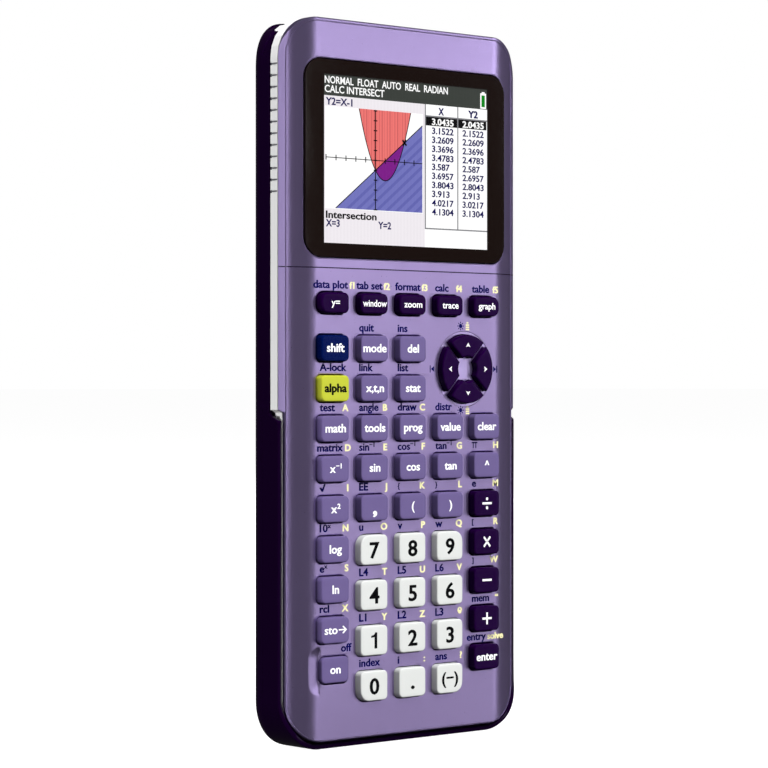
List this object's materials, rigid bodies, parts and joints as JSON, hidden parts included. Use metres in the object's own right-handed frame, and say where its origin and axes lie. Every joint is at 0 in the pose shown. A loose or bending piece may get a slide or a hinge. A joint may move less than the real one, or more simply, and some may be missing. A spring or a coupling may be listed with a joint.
{
  "type": "graphing calculator",
  "caption": "Handheld graphing calculator with a wide colour display, rows of press keys, an arrow pad, and a slide case it lifts out of.",
  "frame": {"origin": "middle of the bounding box, level with the closed bottom end of the slide case", "axes": "+Z along the calculator from the bottom end to the display end, +X to the user's right, -Y out of the key face"},
  "size_m": [0.0834, 0.019, 0.1874],
  "materials": {
    "case": "polished",
    "cover": "satin",
    "rear": "satin",
    "lens": "polished",
    "display": "polished",
    "mat": "matte",
    "board": "satin",
    "battery": "satin",
    "steel": "brushed",
    "keys_dark": "satin",
    "keys_lavender": "satin",
    "key_blue": "satin",
    "key_yellow": "satin",
    "keys_white": "satin"
  },
  "bodies": {
    "case": {"slide_case": "case"},
    "housing": {"front_cover": "cover", "rear_cover": "rear", "display_lens": "lens", "display_module": "display", "keypad_mat": "mat", "main_board": "board", "battery_pack": "battery", "battery_door": "rear", "battery_door_screw": "steel"},
    "key_0": {"key_0": "keys_white"},
    "key_1": {"key_1": "keys_white"},
    "key_2": {"key_2": "keys_white"},
    "key_3": {"key_3": "keys_white"},
    "key_4": {"key_4": "keys_white"},
    "key_5": {"key_5": "keys_white"},
    "key_6": {"key_6": "keys_white"},
    "key_7": {"key_7": "keys_white"},
    "key_8": {"key_8": "keys_white"},
    "key_9": {"key_9": "keys_white"},
    "key_add": {"key_add": "keys_dark"},
    "key_alpha": {"key_alpha": "key_yellow"},
    "key_arrow_down": {"key_arrow_down": "keys_dark"},
    "key_arrow_left": {"key_arrow_left": "keys_dark"},
    "key_arrow_right": {"key_arrow_right": "keys_dark"},
    "key_arrow_up": {"key_arrow_up": "keys_dark"},
    "key_clear": {"key_clear": "keys_lavender"},
    "key_close_bracket": {"key_close_bracket": "keys_lavender"},
    "key_comma": {"key_comma": "keys_lavender"},
    "key_cosine": {"key_cosine": "keys_lavender"},
    "key_delete": {"key_delete": "keys_lavender"},
    "key_divide": {"key_divide": "keys_dark"},
    "key_enter": {"key_enter": "keys_dark"},
    "key_f1": {"key_f1": "keys_dark"},
    "key_f2": {"key_f2": "keys_dark"},
    "key_f3": {"key_f3": "keys_dark"},
    "key_f4": {"key_f4": "keys_dark"},
    "key_f5": {"key_f5": "keys_dark"},
    "key_list": {"key_list": "keys_lavender"},
    "key_log": {"key_log": "keys_lavender"},
    "key_math": {"key_math": "keys_lavender"},
    "key_mode": {"key_mode": "keys_lavender"},
    "key_multiply": {"key_multiply": "keys_dark"},
    "key_natural_log": {"key_natural_log": "keys_lavender"},
    "key_negative": {"key_negative": "keys_white"},
    "key_on": {"key_on": "keys_lavender"},
    "key_open_bracket": {"key_open_bracket": "keys_lavender"},
    "key_point": {"key_point": "keys_white"},
    "key_power": {"key_power": "keys_lavender"},
    "key_program": {"key_program": "keys_lavender"},
    "key_reciprocal": {"key_reciprocal": "keys_lavender"},
    "key_shift": {"key_shift": "key_blue"},
    "key_sine": {"key_sine": "keys_lavender"},
    "key_square": {"key_square": "keys_lavender"},
    "key_store": {"key_store": "keys_lavender"},
    "key_subtract": {"key_subtract": "keys_dark"},
    "key_tangent": {"key_tangent": "keys_lavender"},
    "key_tools": {"key_tools": "keys_lavender"},
    "key_values": {"key_values": "keys_lavender"},
    "key_variable": {"key_variable": "keys_lavender"}
  },
  "joints": [
    {"name": "case_slide", "type": "slide", "parent": "case", "child": "housing", "axis": [0, 0, 1], "range_m": [0, 0.19]},
    {"name": "key_0_press", "type": "slide", "parent": "housing", "child": "key_0", "axis": [0, 1, 0], "range_m": [0, 0.0012], "stiffness_N_per_m": 400},
    {"name": "key_1_press", "type": "slide", "parent": "housing", "child": "key_1", "axis": [0, 1, 0], "range_m": [0, 0.0012], "stiffness_N_per_m": 400},
    {"name": "key_2_press", "type": "slide", "parent": "housing", "child": "key_2", "axis": [0, 1, 0], "range_m": [0, 0.0012], "stiffness_N_per_m": 400},
    {"name": "key_3_press", "type": "slide", "parent": "housing", "child": "key_3", "axis": [0, 1, 0], "range_m": [0, 0.0012], "stiffness_N_per_m": 400},
    {"name": "key_4_press", "type": "slide", "parent": "housing", "child": "key_4", "axis": [0, 1, 0], "range_m": [0, 0.0012], "stiffness_N_per_m": 400},
    {"name": "key_5_press", "type": "slide", "parent": "housing", "child": "key_5", "axis": [0, 1, 0], "range_m": [0, 0.0012], "stiffness_N_per_m": 400},
    {"name": "key_6_press", "type": "slide", "parent": "housing", "child": "key_6", "axis": [0, 1, 0], "range_m": [0, 0.0012], "stiffness_N_per_m": 400},
    {"name": "key_7_press", "type": "slide", "parent": "housing", "child": "key_7", "axis": [0, 1, 0], "range_m": [0, 0.0012], "stiffness_N_per_m": 400},
    {"name": "key_8_press", "type": "slide", "parent": "housing", "child": "key_8", "axis": [0, 1, 0], "range_m": [0, 0.0012], "stiffness_N_per_m": 400},
    {"name": "key_9_press", "type": "slide", "parent": "housing", "child": "key_9", "axis": [0, 1, 0], "range_m": [0, 0.0012], "stiffness_N_per_m": 400},
    {"name": "key_add_press", "type": "slide", "parent": "housing", "child": "key_add", "axis": [0, 1, 0], "range_m": [0, 0.0012], "stiffness_N_per_m": 400},
    {"name": "key_alpha_press", "type": "slide", "parent": "housing", "child": "key_alpha", "axis": [0, 1, 0], "range_m": [0, 0.0012], "stiffness_N_per_m": 400},
    {"name": "key_arrow_down_press", "type": "slide", "parent": "housing", "child": "key_arrow_down", "axis": [0, 1, 0], "range_m": [0, 0.0012], "stiffness_N_per_m": 400},
    {"name": "key_arrow_left_press", "type": "slide", "parent": "housing", "child": "key_arrow_left", "axis": [0, 1, 0], "range_m": [0, 0.0012], "stiffness_N_per_m": 400},
    {"name": "key_arrow_right_press", "type": "slide", "parent": "housing", "child": "key_arrow_right", "axis": [0, 1, 0], "range_m": [0, 0.0012], "stiffness_N_per_m": 400},
    {"name": "key_arrow_up_press", "type": "slide", "parent": "housing", "child": "key_arrow_up", "axis": [0, 1, 0], "range_m": [0, 0.0012], "stiffness_N_per_m": 400},
    {"name": "key_clear_press", "type": "slide", "parent": "housing", "child": "key_clear", "axis": [0, 1, 0], "range_m": [0, 0.0012], "stiffness_N_per_m": 400},
    {"name": "key_close_bracket_press", "type": "slide", "parent": "housing", "child": "key_close_bracket", "axis": [0, 1, 0], "range_m": [0, 0.0012], "stiffness_N_per_m": 400},
    {"name": "key_comma_press", "type": "slide", "parent": "housing", "child": "key_comma", "axis": [0, 1, 0], "range_m": [0, 0.0012], "stiffness_N_per_m": 400},
    {"name": "key_cosine_press", "type": "slide", "parent": "housing", "child": "key_cosine", "axis": [0, 1, 0], "range_m": [0, 0.0012], "stiffness_N_per_m": 400},
    {"name": "key_delete_press", "type": "slide", "parent": "housing", "child": "key_delete", "axis": [0, 1, 0], "range_m": [0, 0.0012], "stiffness_N_per_m": 400},
    {"name": "key_divide_press", "type": "slide", "parent": "housing", "child": "key_divide", "axis": [0, 1, 0], "range_m": [0, 0.0012], "stiffness_N_per_m": 400},
    {"name": "key_enter_press", "type": "slide", "parent": "housing", "child": "key_enter", "axis": [0, 1, 0], "range_m": [0, 0.0012], "stiffness_N_per_m": 400},
    {"name": "key_f1_press", "type": "slide", "parent": "housing", "child": "key_f1", "axis": [0, 1, 0], "range_m": [0, 0.0012], "stiffness_N_per_m": 400},
    {"name": "key_f2_press", "type": "slide", "parent": "housing", "child": "key_f2", "axis": [0, 1, 0], "range_m": [0, 0.0012], "stiffness_N_per_m": 400},
    {"name": "key_f3_press", "type": "slide", "parent": "housing", "child": "key_f3", "axis": [0, 1, 0], "range_m": [0, 0.0012], "stiffness_N_per_m": 400},
    {"name": "key_f4_press", "type": "slide", "parent": "housing", "child": "key_f4", "axis": [0, 1, 0], "range_m": [0, 0.0012], "stiffness_N_per_m": 400},
    {"name": "key_f5_press", "type": "slide", "parent": "housing", "child": "key_f5", "axis": [0, 1, 0], "range_m": [0, 0.0012], "stiffness_N_per_m": 400},
    {"name": "key_list_press", "type": "slide", "parent": "housing", "child": "key_list", "axis": [0, 1, 0], "range_m": [0, 0.0012], "stiffness_N_per_m": 400},
    {"name": "key_log_press", "type": "slide", "parent": "housing", "child": "key_log", "axis": [0, 1, 0], "range_m": [0, 0.0012], "stiffness_N_per_m": 400},
    {"name": "key_math_press", "type": "slide", "parent": "housing", "child": "key_math", "axis": [0, 1, 0], "range_m": [0, 0.0012], "stiffness_N_per_m": 400},
    {"name": "key_mode_press", "type": "slide", "parent": "housing", "child": "key_mode", "axis": [0, 1, 0], "range_m": [0, 0.0012], "stiffness_N_per_m": 400},
    {"name": "key_multiply_press", "type": "slide", "parent": "housing", "child": "key_multiply", "axis": [0, 1, 0], "range_m": [0, 0.0012], "stiffness_N_per_m": 400},
    {"name": "key_natural_log_press", "type": "slide", "parent": "housing", "child": "key_natural_log", "axis": [0, 1, 0], "range_m": [0, 0.0012], "stiffness_N_per_m": 400},
    {"name": "key_negative_press", "type": "slide", "parent": "housing", "child": "key_negative", "axis": [0, 1, 0], "range_m": [0, 0.0012], "stiffness_N_per_m": 400},
    {"name": "key_on_press", "type": "slide", "parent": "housing", "child": "key_on", "axis": [0, 1, 0], "range_m": [0, 0.0012], "stiffness_N_per_m": 400},
    {"name": "key_open_bracket_press", "type": "slide", "parent": "housing", "child": "key_open_bracket", "axis": [0, 1, 0], "range_m": [0, 0.0012], "stiffness_N_per_m": 400},
    {"name": "key_point_press", "type": "slide", "parent": "housing", "child": "key_point", "axis": [0, 1, 0], "range_m": [0, 0.0012], "stiffness_N_per_m": 400},
    {"name": "key_power_press", "type": "slide", "parent": "housing", "child": "key_power", "axis": [0, 1, 0], "range_m": [0, 0.0012], "stiffness_N_per_m": 400},
    {"name": "key_program_press", "type": "slide", "parent": "housing", "child": "key_program", "axis": [0, 1, 0], "range_m": [0, 0.0012], "stiffness_N_per_m": 400},
    {"name": "key_reciprocal_press", "type": "slide", "parent": "housing", "child": "key_reciprocal", "axis": [0, 1, 0], "range_m": [0, 0.0012], "stiffness_N_per_m": 400},
    {"name": "key_shift_press", "type": "slide", "parent": "housing", "child": "key_shift", "axis": [0, 1, 0], "range_m": [0, 0.0012], "stiffness_N_per_m": 400},
    {"name": "key_sine_press", "type": "slide", "parent": "housing", "child": "key_sine", "axis": [0, 1, 0], "range_m": [0, 0.0012], "stiffness_N_per_m": 400},
    {"name": "key_square_press", "type": "slide", "parent": "housing", "child": "key_square", "axis": [0, 1, 0], "range_m": [0, 0.0012], "stiffness_N_per_m": 400},
    {"name": "key_store_press", "type": "slide", "parent": "housing", "child": "key_store", "axis": [0, 1, 0], "range_m": [0, 0.0012], "stiffness_N_per_m": 400},
    {"name": "key_subtract_press", "type": "slide", "parent": "housing", "child": "key_subtract", "axis": [0, 1, 0], "range_m": [0, 0.0012], "stiffness_N_per_m": 400},
    {"name": "key_tangent_press", "type": "slide", "parent": "housing", "child": "key_tangent", "axis": [0, 1, 0], "range_m": [0, 0.0012], "stiffness_N_per_m": 400},
    {"name": "key_tools_press", "type": "slide", "parent": "housing", "child": "key_tools", "axis": [0, 1, 0], "range_m": [0, 0.0012], "stiffness_N_per_m": 400},
    {"name": "key_values_press", "type": "slide", "parent": "housing", "child": "key_values", "axis": [0, 1, 0], "range_m": [0, 0.0012], "stiffness_N_per_m": 400},
    {"name": "key_variable_press", "type": "slide", "parent": "housing", "child": "key_variable", "axis": [0, 1, 0], "range_m": [0, 0.0012], "stiffness_N_per_m": 400}
  ]
}
